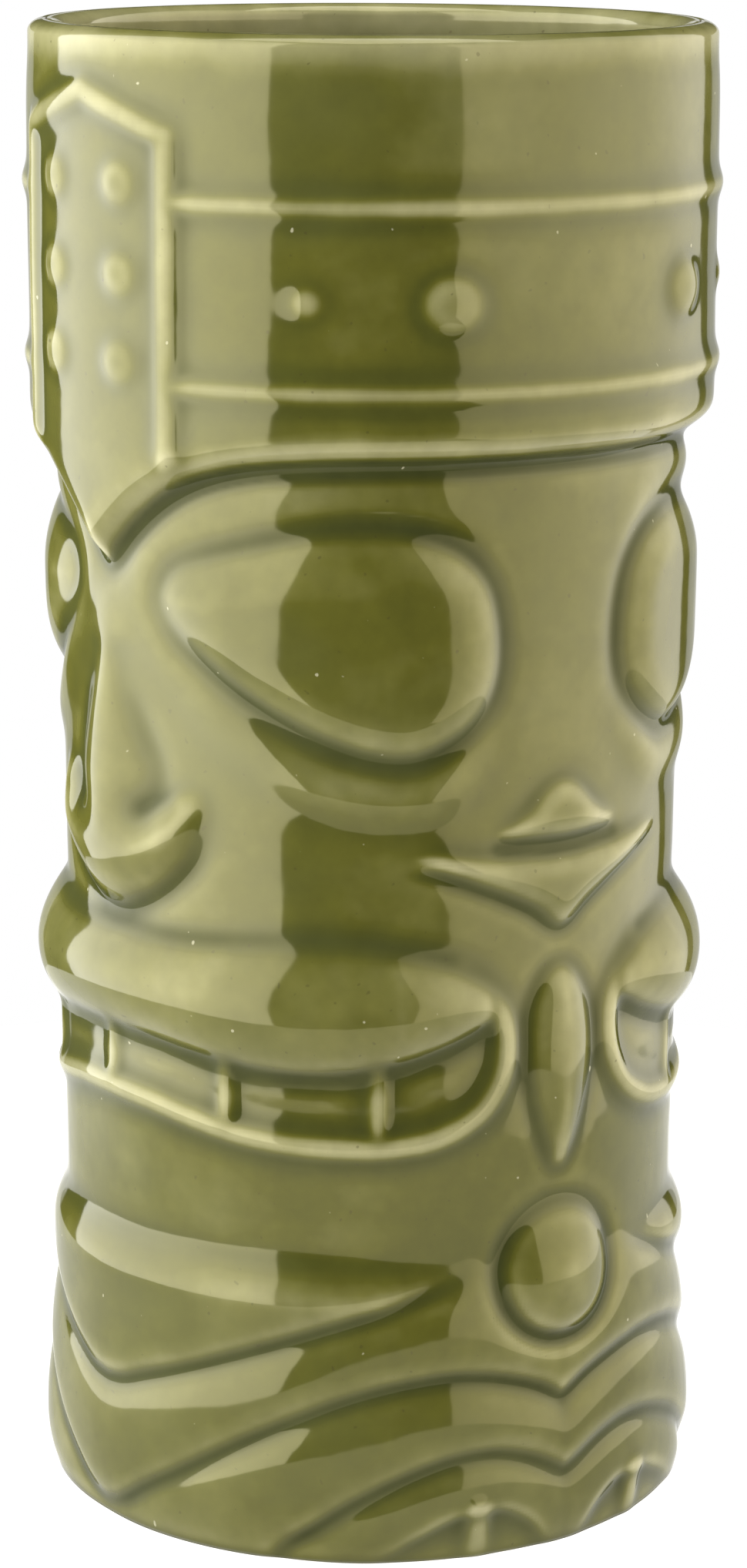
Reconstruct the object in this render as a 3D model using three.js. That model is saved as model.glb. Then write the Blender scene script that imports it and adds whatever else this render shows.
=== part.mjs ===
// Carved-face ceramic mug, slip cast as one tall stoneware body and glazed in three coats.
// Units are millimetres, +Z is up, the face looks along -Y and the foot stands on Z = 0.
// The carving repeats four times around the mug, each quarter the mirror image of the next:
// angle 0 is the middle of a face, angle 90 is the seam between the front and the back face.
import * as THREE from 'three';

// ---- driving dimensions
const HEIGHT = 170;
const GLAZE = 0.4; // thickness of each coat
const BOND_GAP = 0.05; // keeps each coat just clear of the clay it lies on
const SHAFT_RADIUS = 35.25; // glazed radius of the plain shaft under the headband
const BAND_RADIUS = 38.85; // glazed radius of the plain headband
const FOOT_RADIUS = 35.5; // outer edge of the ring that the mug stands on
const FOOT_INNER_RADIUS = 31.6; // inner edge of that ring
const FOOT_RECESS = 1.6; // depth of the hollow inside the foot ring
const FOOT_BARE = 0.9; // height of bare clay left above the table
const FLOOR_THICKNESS = 5.4;
const RIM_WALL = 4.2; // whole wall at the rim, glaze and clay
const SHAFT_WALL = 4.1;
const RIM_ROUND = 1.4; // height of the rounded lip
const FLOOR_CORNER = 6; // radius between the inside wall and the floor
const WIDENING_TOP_Z = 130; // above this the inside has its full width behind the headband
const WIDENING_FOOT_Z = 120; // below this the inside has the width of the shaft
const ARC_PER_DEGREE = (Math.PI / 180) * 36; // mm around the wall for one degree

// How far each part of the carving stands out of the wall, or is cut into it.
const RELIEF = {
  rib: 0.6,
  plaqueFrame: 0.6,
  eyeball: 1.9,
  eyeGroove: 0.25,
  brow: 0.55,
  lid: 0.85,
  noseTip: 2.6,
  noseRoot: 0.6,
  nostril: 1,
  bud: 1.2,
  upperLip: 3.5,
  lowerLip: 0.9,
  leaf: 1.3,
  leafGroove: 0.3,
  bossGroove: 0.5,
  chevron: 1.2,
  arch: 0.8,
};
const NOSTRIL_PHI = 20; // where the roll under the nose has thinned out, in degrees

// Columns of one quarter, closer together where the carving is finer.
const QUARTER_COLUMNS = [0, 4.6, 9.2, 14, 19.2, 26, 34, 43, 54, 66, 74, 82];

// ---- small helpers
const clamp01 = (x) => Math.min(1, Math.max(0, x));
const mix = (a, b, t) => a + (b - a) * t;
const bump = (distance, halfWidth) => Math.exp(-((distance / halfWidth) ** 2));

function smooth(from, to, x) {
  const t = clamp01((x - from) / (to - from));
  return t * t * (3 - 2 * t);
}

// A smooth line across the quarter, height as a function of angle, through hand-placed points.
function line(points) {
  const slope = points.map((_, i) => {
    const [a, b] = [points[Math.max(0, i - 1)], points[Math.min(points.length - 1, i + 1)]];
    return (b[1] - a[1]) / (b[0] - a[0]);
  });
  return (phi) => {
    if (phi <= points[0][0]) return points[0][1];
    const i = points.findIndex((p) => p[0] >= phi);
    if (i < 0) return points[points.length - 1][1];
    const [x0, z0] = points[i - 1];
    const [x1, z1] = points[i];
    const h = x1 - x0;
    const t = (phi - x0) / h;
    const rise = (3 - 2 * t) * t * t;
    const tangents = h * t * (1 - t) * ((1 - t) * slope[i - 1] - t * slope[i]);
    return mix(z0, z1, rise) + tangents;
  };
}

// Distance above a line, measured square to it.
function above(curve, phi, z) {
  const tilt = (curve(phi + 0.5) - curve(phi - 0.5)) / ARC_PER_DEGREE;
  return (z - curve(phi)) / Math.hypot(1, tilt);
}

// A path or a closed outline on the unrolled wall, given as [angle, height] points.
function unroll(points, closed = false) {
  const knots = points.map(([phi, z]) => new THREE.Vector3(phi * ARC_PER_DEGREE, z, 0));
  return new THREE.CatmullRomCurve3(knots, closed, 'centripetal').getPoints(points.length * 4);
}

function distanceToPath(path, phi, z) {
  const here = new THREE.Vector3(phi * ARC_PER_DEGREE, z, 0);
  const nearest = new THREE.Vector3();
  let best = Infinity;
  for (let i = 1; i < path.length; i += 1) {
    new THREE.Line3(path[i - 1], path[i]).closestPointToPoint(here, true, nearest);
    best = Math.min(best, nearest.distanceTo(here));
  }
  return best;
}

// Distance to an outline, positive inside it and negative outside.
function depthInside(outline, phi, z) {
  const x = phi * ARC_PER_DEGREE;
  let inside = false;
  for (let i = 0, j = outline.length - 1; i < outline.length; j = i, i += 1) {
    const [a, b] = [outline[i], outline[j]];
    const crosses = a.y > z !== b.y > z;
    if (crosses && x < ((b.x - a.x) * (z - a.y)) / (b.y - a.y) + a.x) inside = !inside;
  }
  return distanceToPath(outline, phi, z) * (inside ? 1 : -1);
}

// ---- the lines of the carving
const LEDGE = (phi) => 125 - 13.2 * Math.exp(-((Math.abs(phi) / 16) ** 1.3));
const BROW = line([
  [0, 109], [10, 113], [20, 116.6], [30, 119], [42, 120.8], [60, 121.3], [75, 119],
  [90, 119.6],
]);
const EYE_TOP = line([
  [0, 108], [10, 109.2], [18, 112.5], [30, 116], [42, 117.8], [58, 118], [70, 116], [78, 114],
  [90, 114],
]);
const EYE_MIDDLE = line([[0, 106], [14, 108.4], [30, 108], [58, 106.4], [76, 105.4], [90, 106]]);
const EYE_BOTTOM = line([
  [0, 102], [10, 106], [15, 107], [25, 102], [35, 98], [45, 94.8], [60, 92.2], [70, 94.6],
  [78, 99], [90, 99],
]);
const LID = line([
  [0, 97], [10, 100], [20, 99.6], [30, 95], [40, 91.6], [55, 89.4], [66, 89.6], [76, 92.6],
  [90, 94],
]);
const LID_EDGE = line([
  [0, 90], [12, 90], [20, 93], [30, 91.6], [40, 87.6], [50, 85.6], [62, 85.2], [72, 87],
  [80, 88], [90, 89],
]);
const NOSE_CREST = line([
  [0, 80.5], [10, 82], [18, 84.6], [26, 86], [40, 82.6], [66, 81.2], [78, 83.6], [90, 85],
]);
const NOSE_FOOT = line([
  [0, 73.2], [8, 74.6], [16, 77], [22, 81], [30, 79], [50, 76.4], [66, 78.6], [78, 77.2],
  [90, 73.6],
]);
const LIP_TOP = line([
  [0, 71.6], [20, 71.8], [42, 72.6], [60, 71.9], [70, 70.4], [75, 68.2], [79, 65.4],
  [84, 68.4], [90, 69.4],
]);
const LIP_CREST = line([
  [0, 65.4], [30, 64.9], [45, 64.6], [60, 65], [70, 65.6], [79, 64.4], [84, 64.6], [90, 64.6],
]);
const LIP_BOTTOM = line([
  [0, 58.6], [20, 57.4], [34, 56.2], [50, 56.2], [62, 57.6], [70, 60.2], [79, 63.6], [84, 61],
  [90, 60],
]);
const MOUTH_BOTTOM = line([
  [0, 54], [20, 52.6], [34, 51.1], [50, 50.8], [62, 51.6], [70, 54.2], [77, 58.4], [84, 55],
  [90, 54],
]);
const WEDGE_TOP = line([[0, 36.2], [50, 36.4], [62, 35.8], [72, 36.4], [80, 39.6], [90, 41.4]]);
const GROOVE_1 = line([
  [0, 17.6], [4, 17.9], [10, 19.3], [30, 24.2], [50, 29], [66, 32.5], [73, 31], [82, 27],
  [90, 25.4],
]);
const GROOVE_2 = line([
  [0, 2.4], [4, 3.2], [10, 5.8], [30, 13.8], [40, 17.2], [50, 20], [60, 21.7], [70, 22.2],
  [80, 21], [90, 18.2],
]);
const GROOVE_3 = line([
  [0, 1.6], [34, 1.7], [40, 2.9], [50, 7.6], [60, 11], [72, 13], [80, 12.4], [90, 9.6],
]);
const ARCH = line([[0, 1.2], [50, 1.2], [57, 2.2], [65, 5.2], [74, 6.9], [82, 5], [90, 1.4]]);

const LOWER_LIP = unroll([
  [-10, 51.3], [0, 51.8], [20, 50.2], [42, 48.8], [60, 49.5], [70, 51.5], [77, 55], [79.6, 60],
  [77, 65.6],
]);
const EYE = unroll([
  [14.5, 109.3], [20, 113.3], [30, 116], [42, 117.9], [58, 118.1], [70, 116], [77, 110],
  [78, 104], [74, 97], [66, 93.2], [56, 92.5], [44, 95], [32, 99], [22, 103.4],
], true);
const LEAF = unroll([
  [90, 45.4], [84.6, 50.6], [82.5, 57], [84.6, 63.6], [90, 68.2], [95.4, 63.6], [97.5, 57],
  [95.4, 50.6],
], true);
const NOSE_ROLL = unroll([[-8, 79], [0, 78.6], [8, 79.6], [15, 82], [21, 85.6]]);
const UPPER_BUD = unroll([[79, 84.4], [84, 85.8], [90, 86.4], [96, 85.8]]);
const LOWER_BUD = unroll([[66, 80.6], [76, 79.2], [84, 77.4], [90, 75.8], [96, 77.4]]);

const PLAQUE_EDGE = 19.2; // half width of the plaque, in degrees
const PLAQUE_CORNERS = [[PLAQUE_EDGE, 116], [PLAQUE_EDGE, 159.2], [0, 163.5]];
const PLAQUE = PLAQUE_CORNERS.map(([phi, z]) => new THREE.Vector3(phi * ARC_PER_DEGREE, z, 0));
const RIB_HEIGHTS = [132.8, 152.3];
const BOSS = { phi: 90, z: 32.6, radius: 7.6, height: 2.1 };
const BAND_STUDS = [
  { phi: 43, z: 142.3, radius: 1.9, height: 0.6 },
  { phi: 66, z: 142.3, radius: 3.5, height: 1.05 },
];
const PLAQUE_STUD_HEIGHTS = [153.8, 144, 134.8];
const PLAQUE_STUDS = PLAQUE_STUD_HEIGHTS.map((z) => ({ phi: 9.2, z, radius: 2.8, height: 0.7 }));

// ---- the relief, one function for each part of the carving, each giving height in mm
function dome({ phi: centre, z: level, radius, height }, phi, z) {
  const away = Math.hypot((phi - centre) * ARC_PER_DEGREE, z - level);
  return height * Math.sqrt(clamp01(1 - (away / radius) ** 2));
}

function headband(phi, z) {
  const step = BAND_RADIUS - SHAFT_RADIUS - 0.3;
  const rise = smooth(-1.2, 3, above(LEDGE, phi, z));
  const ribs = RIB_HEIGHTS.reduce((sum, level) => sum + bump(z - level, 1.1), 0);
  const onBand = smooth(PLAQUE_EDGE, PLAQUE_EDGE + 2, phi);
  const aboveLedge = z > LEDGE(phi) ? 1 : 0;
  const frame = RELIEF.plaqueFrame * bump(distanceToPath(PLAQUE, phi, z), 1.2) * aboveLedge;
  const studs = [...BAND_STUDS, ...PLAQUE_STUDS].reduce((sum, stud) => sum + dome(stud, phi, z), 0);
  return step * rise + RELIEF.rib * ribs * onBand + frame + studs;
}

function eye(phi, z) {
  const depth = depthInside(EYE, phi, z);
  const ball = RELIEF.eyeball * (1 - (1 - clamp01(depth / 9)) ** 2);
  const brow = RELIEF.brow * bump(above(BROW, phi, z), 2) * (1 - smooth(70, 82, phi));
  const lidFade = smooth(8, 20, phi) * (1 - smooth(66, 80, phi));
  const lid = RELIEF.lid * bump(above(LID, phi, z), 3) * lidFade;
  return ball + brow + lid - RELIEF.eyeGroove * bump(depth, 1);
}

function nose(phi, z) {
  const across = phi * ARC_PER_DEGREE;
  const halfWidth = mix(7, 2.6, smooth(84, 108, z));
  const bridgeHeight = mix(RELIEF.noseTip, RELIEF.noseRoot, smooth(84, 110, z));
  const bridgeFade = smooth(74, 82, z) * (1 - smooth(106, 112, z));
  const outward = smooth(4, NOSTRIL_PHI, phi);
  const rollHeight = mix(RELIEF.noseTip, RELIEF.nostril, outward);
  const roll = rollHeight * bump(distanceToPath(NOSE_ROLL, phi, z), mix(4.2, 2.6, outward));
  return Math.max(bridgeHeight * bump(across, halfWidth) * bridgeFade, roll);
}

function buds(phi, z) {
  const upper = RELIEF.bud * bump(distanceToPath(UPPER_BUD, phi, z), 2);
  const lower = RELIEF.bud * bump(distanceToPath(LOWER_BUD, phi, z), 1.9);
  return upper + lower;
}

function mouth(phi, z) {
  const [top, crest, bottom] = [LIP_TOP(phi), LIP_CREST(phi), LIP_BOTTOM(phi)];
  const reach = z > crest ? top - crest : crest - bottom;
  const fullness = RELIEF.upperLip * Math.min(1, (top - bottom) / 13) * (1 - smooth(76, 79, phi));
  const lip = reach > 0 ? fullness * clamp01(1 - ((z - crest) / reach) ** 2) : 0;
  const lower = RELIEF.lowerLip * bump(distanceToPath(LOWER_LIP, phi, z), 1.2);
  return Math.max(lip, lower);
}

function sideOrnaments(phi, z) {
  const depth = depthInside(LEAF, phi, z);
  const leaf = RELIEF.leaf * smooth(-0.6, 1.4, depth) - RELIEF.leafGroove * bump(depth + 1.2, 0.8);
  const away = Math.hypot((phi - BOSS.phi) * ARC_PER_DEGREE, z - BOSS.z);
  return leaf + dome(BOSS, phi, z) - RELIEF.bossGroove * bump(away - BOSS.radius - 0.7, 0.9);
}

function chevrons(phi, z) {
  const grooves = [above(GROOVE_2, phi, z), above(GROOVE_3, phi, z)];
  if (phi < 70) grooves.push(above(GROOVE_1, phi, z));
  const nearest = Math.min(...grooves.map(Math.abs));
  const arch = z < ARCH(phi) ? RELIEF.arch * smooth(0, 1.2, ARCH(phi) - z) : 0;
  return -RELIEF.chevron * Math.exp(-nearest / 1.3) - arch;
}

// Radius of the plain glazed wall before any carving.
function plainWall(phi, z) {
  const shaft = SHAFT_RADIUS + 0.3 * smooth(88, 120, z);
  const crisp = 1 - smooth(30.5, 36.2, z);
  const gentle = 1 - smooth(22, 42, z);
  const flare = 1.7 * mix(crisp, gentle, smooth(58, 74, phi)) + 1.05 * (1 - smooth(8, 26, z));
  const tuck = 2.7 * (1 - Math.sqrt(1 - clamp01((7 - z) / 7) ** 2));
  return shaft + flare - tuck;
}

// Glazed outer radius at an angle in the quarter and a height.
function glazedRadius(phi, z) {
  let radius = plainWall(phi, z);
  if (z < 44) radius += chevrons(phi, z);
  if (z < 72) radius += sideOrnaments(phi, z);
  if (z > 40 && z < 75) radius += mouth(phi, z);
  if (z > 70 && z < 113) radius += nose(phi, z) + buds(phi, z);
  if (z > 80 && z < 124) radius += eye(phi, z);
  if (z > 108) radius += headband(phi, z);
  return radius;
}

// ---- rows of the outer wall, from the foot to the rim, each following a line of the carving
const offset = (curve, rise) => (phi) => curve(phi) + rise;
const between = (low, high, share) => (phi) => mix(low(phi), high(phi), share);
const level = (z) => () => z;
const ROWS = [
  level(FOOT_BARE), ARCH, between(ARCH, GROOVE_3, 0.55), GROOVE_3,
  between(GROOVE_3, GROOVE_2, 0.25), between(GROOVE_3, GROOVE_2, 0.7), GROOVE_2,
  between(GROOVE_2, GROOVE_1, 0.25), between(GROOVE_2, GROOVE_1, 0.7), GROOVE_1,
  between(GROOVE_1, WEDGE_TOP, 0.3), between(GROOVE_1, WEDGE_TOP, 0.65), WEDGE_TOP,
  between(WEDGE_TOP, MOUTH_BOTTOM, 0.62), offset(MOUTH_BOTTOM, -2), MOUTH_BOTTOM,
  between(MOUTH_BOTTOM, LIP_BOTTOM, 0.5), LIP_BOTTOM, between(LIP_BOTTOM, LIP_CREST, 0.5), LIP_CREST,
  between(LIP_CREST, LIP_TOP, 0.55), LIP_TOP, NOSE_FOOT, between(NOSE_FOOT, NOSE_CREST, 0.5), NOSE_CREST,
  LID_EDGE, LID, EYE_BOTTOM, between(EYE_BOTTOM, EYE_MIDDLE, 0.5), EYE_MIDDLE,
  between(EYE_MIDDLE, EYE_TOP, 0.6), EYE_TOP, BROW, offset(LEDGE, -0.9), offset(LEDGE, 1), offset(LEDGE, 3),
  ...[131.2, 132.8, 134.6, 138.8, 142.3, 145.8, 150.8, 152.3, 153.8, 159.6, 164].map(level),
];

// All columns around the mug: the quarter, its mirror image, and both again behind.
function columns() {
  const around = [];
  for (const quarter of [0, 1, 2, 3]) {
    const mirrored = quarter % 2 === 1;
    const steps = mirrored ? [...QUARTER_COLUMNS.slice(1), 90].reverse() : QUARTER_COLUMNS;
    for (const phi of steps) {
      around.push({ phi, angle: quarter * 90 + (mirrored ? 90 - phi : phi) });
    }
  }
  return around;
}

const COLUMNS = columns();
const at = (angle, radius, z) => {
  const turn = THREE.MathUtils.degToRad(angle);
  return [radius * Math.sin(turn), -radius * Math.cos(turn), z];
};
const ring = (radius, z) => COLUMNS.map(({ angle }) => at(angle, radius, z));

// Rings of the outer wall at a depth below the glazed surface.
function outerRings(depth) {
  return ROWS.map((row) => COLUMNS.map(({ phi, angle }) => {
    const z = row(phi);
    return at(angle, glazedRadius(phi, z) - depth, z);
  }));
}

// Rings over the rounded lip, outside to inside, at a depth below the glazed surface.
const LIP_MIDDLE = BAND_RADIUS - RIM_WALL / 2;
function lipRing(turn, depth) {
  const radians = THREE.MathUtils.degToRad(turn);
  const reach = RIM_WALL / 2 - depth;
  const z = HEIGHT - RIM_ROUND + (RIM_ROUND - depth) * Math.sin(radians);
  return ring(LIP_MIDDLE + reach * Math.cos(radians), z);
}

// Rings down the inside wall to the floor, at a depth behind the glazed surface.
function innerRings(depth) {
  const rimRadius = BAND_RADIUS - RIM_WALL + depth;
  const shaftRadius = SHAFT_RADIUS - SHAFT_WALL + depth;
  const floor = FLOOR_THICKNESS - depth;
  const corner = FLOOR_CORNER + depth;
  const rings = [
    ring(rimRadius, WIDENING_TOP_Z),
    ring(shaftRadius, WIDENING_FOOT_Z),
    ring(shaftRadius, HEIGHT * 0.4),
  ];
  for (const turn of [0, 30, 60, 90]) {
    const radians = THREE.MathUtils.degToRad(turn);
    const inset = corner * (1 - Math.cos(radians));
    rings.push(ring(shaftRadius - inset, floor + corner * (1 - Math.sin(radians))));
  }
  return rings;
}

// Joins rings into a closed skin. It ends on the axis at both ends, or returns to its first ring.
function loft(rings, { firstCentre = null, lastCentre = null } = {}) {
  const count = COLUMNS.length;
  const points = rings.flat();
  const faces = [];
  const closed = firstCentre === null;
  const bands = closed ? rings.length : rings.length - 1;
  for (let row = 0; row < bands; row += 1) {
    const next = (row + 1) % rings.length;
    for (let i = 0; i < count; i += 1) {
      const j = (i + 1) % count;
      const [a, b, c, d] = [row * count + i, row * count + j, next * count + j, next * count + i];
      // Every cell is split on the same diagonal, whichever way the skin runs, so that coats nest.
      if (points[d][2] >= points[a][2]) faces.push(a, b, c, a, c, d);
      else faces.push(a, b, d, b, c, d);
    }
  }
  if (!closed) {
    points.push([0, 0, firstCentre], [0, 0, lastCentre]);
    const last = (rings.length - 1) * count;
    for (let i = 0; i < count; i += 1) {
      const j = (i + 1) % count;
      faces.push(j, i, points.length - 2, last + i, last + j, points.length - 1);
    }
  }
  const geometry = new THREE.BufferGeometry();
  geometry.setAttribute('position', new THREE.Float32BufferAttribute(points.flat(), 3));
  geometry.setIndex(faces);
  geometry.computeVertexNormals();
  return geometry;
}

// ---- sub-parts
const CLAY_DEPTH = GLAZE + BOND_GAP;
const RIM_MEETING = 88; // where the outer coat meets the liner, in degrees over the lip
const OUTER_LIP = [20, 60, RIM_MEETING];
const INNER_LIP = [180 - RIM_MEETING, 120, 160];
const AXIS_GAP = 0.5; // the liner's skin closes in a ring this wide at the middle of the floor
const BASE_MARGIN = 1.6; // bare clay between the foot ring and the glaze inside it

function stonewareBody() {
  return loft([
    ring(FOOT_INNER_RADIUS - BASE_MARGIN / 2, FOOT_RECESS),
    ring(FOOT_INNER_RADIUS, 0),
    ring(FOOT_RADIUS - CLAY_DEPTH, 0),
    ...outerRings(CLAY_DEPTH),
    ...[...OUTER_LIP, ...INNER_LIP].map((turn) => lipRing(turn, CLAY_DEPTH)),
    ...innerRings(CLAY_DEPTH),
  ], { firstCentre: FOOT_RECESS, lastCentre: FLOOR_THICKNESS - CLAY_DEPTH });
}

function outerGlaze() {
  return loft([
    ...outerRings(0),
    ...OUTER_LIP.map((turn) => lipRing(turn, 0)),
    ...[...OUTER_LIP].reverse().map((turn) => lipRing(turn, GLAZE)),
    ...outerRings(GLAZE).reverse(),
  ]);
}

function linerGlaze() {
  const skin = (depth) => [
    ...INNER_LIP.map((turn) => lipRing(turn, depth)),
    ...innerRings(depth),
    ring(AXIS_GAP, FLOOR_THICKNESS - depth),
  ];
  return loft([...skin(0), ...skin(GLAZE).reverse()]);
}

function baseGlaze() {
  const radius = FOOT_INNER_RADIUS - BASE_MARGIN;
  const top = FOOT_RECESS - BOND_GAP;
  const under = top - GLAZE;
  return loft([ring(radius, under), ring(radius, top)], { firstCentre: under, lastCentre: top });
}

const CLAY = { color: 0xd8cdb4, roughness: 0.85, metalness: 0 };
const CELADON = { color: 0x7d7a45, roughness: 0.12, metalness: 0 };

function piece(name, geometry, look) {
  const mesh = new THREE.Mesh(geometry, new THREE.MeshStandardMaterial(look));
  mesh.name = name;
  return mesh;
}

const mug = new THREE.Group();
mug.add(
  piece('stoneware_body', stonewareBody(), CLAY),
  piece('outer_glaze', outerGlaze(), CELADON),
  piece('liner_glaze', linerGlaze(), CELADON),
  piece('base_glaze', baseGlaze(), CELADON),
);

export default mug;
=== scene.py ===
import math

import bpy
import numpy as np
from mathutils import Matrix

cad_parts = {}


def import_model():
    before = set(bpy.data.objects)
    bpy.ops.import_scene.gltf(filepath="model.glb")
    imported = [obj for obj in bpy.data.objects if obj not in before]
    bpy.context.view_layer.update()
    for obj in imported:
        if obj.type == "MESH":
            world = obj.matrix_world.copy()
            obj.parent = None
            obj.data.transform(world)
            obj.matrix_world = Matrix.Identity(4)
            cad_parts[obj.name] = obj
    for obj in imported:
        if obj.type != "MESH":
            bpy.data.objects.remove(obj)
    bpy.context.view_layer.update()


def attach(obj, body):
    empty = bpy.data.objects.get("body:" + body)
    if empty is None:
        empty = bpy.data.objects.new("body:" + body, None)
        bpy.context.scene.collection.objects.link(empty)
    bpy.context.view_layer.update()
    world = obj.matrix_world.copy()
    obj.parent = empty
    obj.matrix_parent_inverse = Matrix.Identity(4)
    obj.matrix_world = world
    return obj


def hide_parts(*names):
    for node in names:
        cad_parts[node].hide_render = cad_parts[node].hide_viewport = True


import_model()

# Everything below is worked out in millimetres and becomes metres in new_piece().
MM = 0.001
HEIGHT = 170.0
GLAZE = 0.4                # thickness of a glaze coat
BOND_GAP = 0.03            # keeps each coat just clear of the clay
SHAFT_RADIUS = 35.25       # glazed radius of the plain shaft
BAND_RADIUS = 38.85        # glazed radius of the plain headband
LIP_RADIUS = BAND_RADIUS - 0.25
FOOT_RADIUS = 35.5
FOOT_INNER_RADIUS = 31.6
FOOT_RECESS = 1.6          # depth of the hollow inside the foot ring
FOOT_BARE = 0.9            # bare clay between the table and the outer coat
FLOOR_THICKNESS = 5.4
WALL = 4.1                 # clay and both coats, on the shaft
RIM_WALL = 4.2             # the same at the rim
RIM_ROUND = 1.4            # height of the rounded lip
RIM_INNER = LIP_RADIUS - RIM_WALL
WALL_TOP = HEIGHT - RIM_ROUND
FLOOR_CORNER = 6.0         # radius between the inside wall and the floor
FLOOR_RADIUS = SHAFT_RADIUS - WALL - FLOOR_CORNER
AXIS_GAP = 0.6             # radius of the last ring of a floor
BASE_MARGIN = 1.6          # bare clay between the foot ring and the glaze inside it
MEAN_RADIUS = 36.0         # the wall is unrolled at this radius
ARC = math.radians(1) * MEAN_RADIUS   # mm round the wall for one degree

# How fine the meshes are.
QUARTER_STEPS = 144        # grid columns in one quarter of the outer wall
ROW_STEP = 0.42            # grid row spacing, mm
HIDDEN_ROW_STEP = 2.8      # the same for faces that the clay or the glaze hides
PATH_STEPS = 8             # points added for each listed point of an outline

# How the melted glaze lies on the clay, mm.
GLAZE_FLOW = 0.78          # how far it evens out the relief
POOL_REACH = 1.4           # how far it runs together into hollows
EDGE_REACH = 0.7           # how far it draws back from edges
POOL_SOFTNESS = 0.4
POOL_GAIN = 1.3
EDGE_GAIN = 1.6
INSIDE_SOFTNESS = 4.5      # the inside follows the carving only this softly
LIP_SHADE_AND_POOL_GAIN = 0.17        # extra pooled glaze, and painted shade, under the upper lip
WOBBLE_WAVES = 14
WOBBLE_RISE = 0.012
LIP_BLEND = 5.0            # height over which the wall becomes a plain ring below the lip
CRISP_ROWS = 12            # top rows that follow that ring and not the glaze's flow

rng = np.random.default_rng(41)


# ---------------------------------------------------------------- curves and profiles
def smooth(low, high, x):
    t = np.clip((x - low) / (high - low), 0, 1)
    return t * t * (3 - 2 * t)


def bump(distance, half_width, power=2):
    return np.exp(-np.abs(distance / half_width) ** power)


def dome(depth, reach):
    """0 at an outline, 1 from the depth called reach inwards, as a round shoulder."""
    return 1 - (1 - np.clip(depth / reach, 0, 1)) ** 2


def union(a, b, soft):
    """The greater of two heights, with the corner between them rounded."""
    return 0.5 * (a + b + np.sqrt((a - b) ** 2 + soft**2) - soft)


def line(points):
    """A smooth height across the quarter, through given (angle, height) points."""
    x, z = np.array(points, float).T
    slope = np.gradient(z, x)

    def height(phi):
        i = np.clip(np.searchsorted(x, phi) - 1, 0, len(x) - 2)
        h = x[i + 1] - x[i]
        t = np.clip((phi - x[i]) / h, 0, 1)
        rise = z[i] + (z[i + 1] - z[i]) * t * t * (3 - 2 * t)
        return rise + h * t * (1 - t) * ((1 - t) * slope[i] - t * slope[i + 1])

    return height


def unroll(points, closed=False, straight=False):
    """Given (angle, height) points as a dense path on the unrolled wall, in mm."""
    p = np.array(points, float) * (ARC, 1)
    if straight:
        return p
    before = np.roll(p, 1, 0) if closed else np.vstack([p[:1], p[:-1]])
    after = np.roll(p, -1, 0) if closed else np.vstack([p[1:], p[-1:]])
    beyond = np.roll(p, -2, 0) if closed else np.vstack([p[2:], p[-1:], p[-1:]])
    count = len(p) if closed else len(p) - 1
    t = np.linspace(0, 1, PATH_STEPS, endpoint=False)[None, :, None]
    a, b, c, d = (q[:count, None] for q in (before, p, after, beyond))
    bend = (2 * a - 5 * b + 4 * c - d) * t**2
    path = 0.5 * (2 * b + (c - a) * t + bend + (3 * b - a - 3 * c + d) * t**3)
    path = path.reshape(-1, 2)
    return np.vstack([path, p[:1] if closed else p[-1:]])


def distance_to(path, x, z):
    """Distance to the nearest stretch of a path."""
    best = np.full(x.shape, 1e9)
    for a, b in zip(path[:-1], path[1:]):
        run = b - a
        length = float(run @ run)
        if length > 0:
            t = np.clip(((x - a[0]) * run[0] + (z - a[1]) * run[1]) / length, 0, 1)
            best = np.minimum(best, (x - a[0] - t * run[0]) ** 2 + (z - a[1] - t * run[1]) ** 2)
    return np.sqrt(best)


def depth_inside(outline, x, z):
    """Distance to a closed outline, positive inside."""
    inside = np.zeros(x.shape, bool)
    for a, b in zip(outline[:-1], outline[1:]):
        if a[1] != b[1]:
            crosses = (a[1] > z) != (b[1] > z)
            inside ^= crosses & (x < (b[0] - a[0]) * (z - a[1]) / (b[1] - a[1]) + a[0])
    return distance_to(outline, x, z) * np.where(inside, 1, -1)


def mirrored(points, about):
    """Points followed by their mirror image about an angle, as one run."""
    back = [(2 * about - phi, z) for phi, z in reversed(points) if phi != about]
    return list(points) + back


def above(curve, phi, z):
    """Distance above a line, measured square to it."""
    tilt = (curve(phi + 0.5) - curve(phi - 0.5)) / ARC
    return (z - curve(phi)) / np.hypot(1, tilt)


# ---------------------------------------------------------------- the lines of the carving
def ledge(phi):
    return 125 - 13.2 * np.exp(-((np.abs(phi) / 16) ** 1.3))


LIP_TOP = line([(0, 71.6), (20, 71.8), (42, 72.8), (55, 72.4), (65, 71), (70, 69.8), (75, 67.6),
                (79, 64.6), (90, 64)])
LIP_CREST = line([(0, 65.3), (30, 64.9), (45, 64.6), (60, 65), (70, 65.4), (79, 64), (90, 63.8)])
LIP_BOTTOM = line([(0, 59.3), (10, 59.1), (20, 58.4), (30, 57.6), (42, 57.2), (50, 57.5), (60, 58.8),
                   (68, 60.5), (75, 62.6), (79, 63.5), (90, 63.6)])
WEDGE_TOP = line([(0, 36.1), (30, 36.3), (50, 36), (60, 35.4), (72, 35.2)])
GROOVE_1 = line([(0, 17.5), (4, 17.9), (10, 19.3), (20, 21.7), (30, 24.2), (40, 26.7), (50, 29),
                 (60, 31), (68, 32.8), (76, 34.6)])
GROOVE_2 = line([(0, 2.4), (4, 3.2), (10, 5.8), (20, 9.8), (30, 13.8), (40, 17.2), (50, 20),
                 (60, 21.7), (70, 22.2), (80, 21), (85, 19.8), (90, 18)])
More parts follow.
